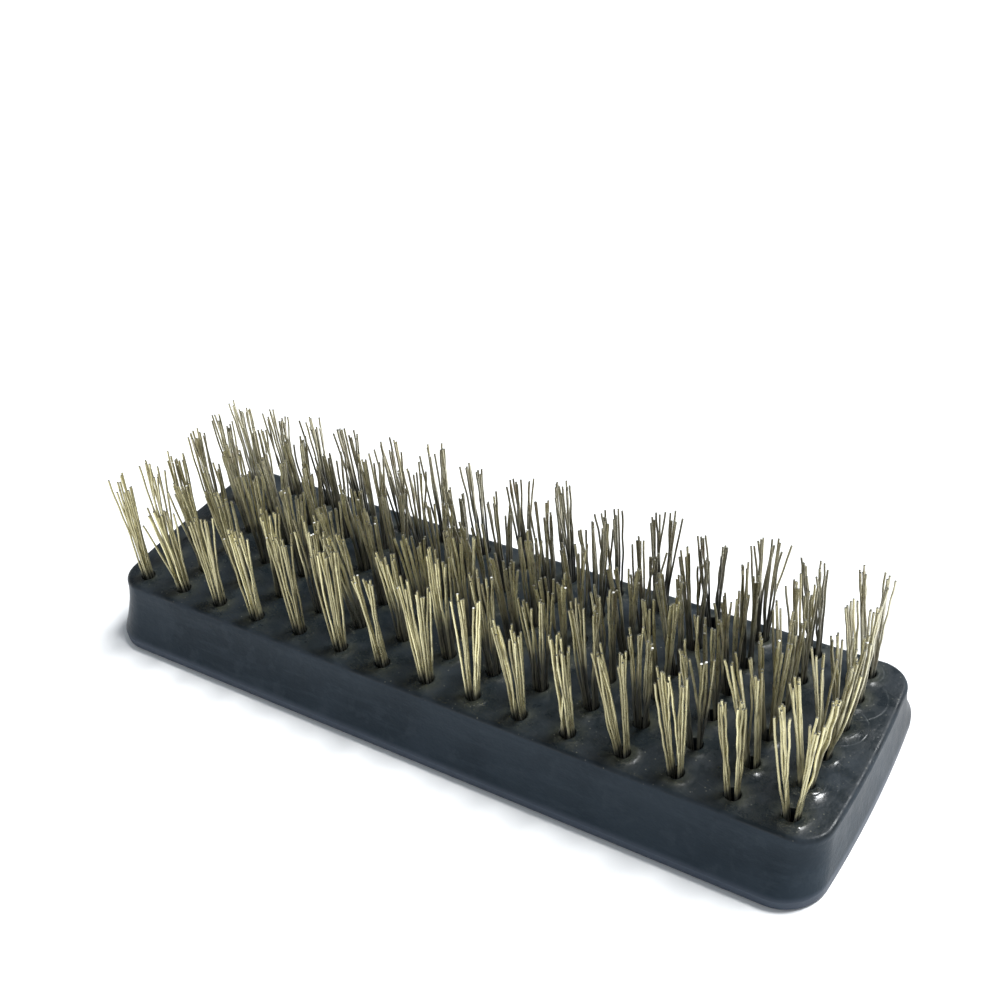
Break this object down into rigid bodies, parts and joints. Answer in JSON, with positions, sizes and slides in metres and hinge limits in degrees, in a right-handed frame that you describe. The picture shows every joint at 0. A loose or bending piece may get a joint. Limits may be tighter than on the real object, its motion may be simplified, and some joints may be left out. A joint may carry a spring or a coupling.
{
  "type": "wire brush",
  "caption": "Hand wire brush without a handle: a long moulded block with flared grip sides, set with rows of folded brass-coated wire tufts held by flat anchors.",
  "frame": {"origin": "centre of the block's flat back, which the brush rests on with its wires up", "axes": "+X along the block's length, +Y across its width, +Z from the back up through the tufted face along the wires; the grid of tufts sits slightly nearer the -X end"},
  "size_m": [0.1468, 0.0512, 0.0356],
  "materials": {
    "block_plastic": "moulded, slate charcoal, slightly greasy sheen with scuffs and dust",
    "brass_coated_wire": "drawn wire, pale straw brass, darkening towards the holes, bright cut tips",
    "anchor_steel": "flat rolled strip, sheared ends"
  },
  "bodies": {
    "root": {"block": "block_plastic", "wire_tufts_column_01": "brass_coated_wire", "wire_tufts_column_02": "brass_coated_wire", "wire_tufts_column_03": "brass_coated_wire", "wire_tufts_column_04": "brass_coated_wire", "wire_tufts_column_05": "brass_coated_wire", "wire_tufts_column_06": "brass_coated_wire", "wire_tufts_column_07": "brass_coated_wire", "wire_tufts_column_08": "brass_coated_wire", "wire_tufts_column_09": "brass_coated_wire", "wire_tufts_column_10": "brass_coated_wire", "wire_tufts_column_11": "brass_coated_wire", "wire_tufts_column_12": "brass_coated_wire", "wire_tufts_column_13": "brass_coated_wire", "wire_tufts_column_14": "brass_coated_wire", "wire_tufts_column_15": "brass_coated_wire", "anchors_column_01": "anchor_steel", "anchors_column_02": "anchor_steel", "anchors_column_03": "anchor_steel", "anchors_column_04": "anchor_steel", "anchors_column_05": "anchor_steel", "anchors_column_06": "anchor_steel", "anchors_column_07": "anchor_steel", "anchors_column_08": "anchor_steel", "anchors_column_09": "anchor_steel", "anchors_column_10": "anchor_steel", "anchors_column_11": "anchor_steel", "anchors_column_12": "anchor_steel", "anchors_column_13": "anchor_steel", "anchors_column_14": "anchor_steel", "anchors_column_15": "anchor_steel"}
  },
  "joints": []
}
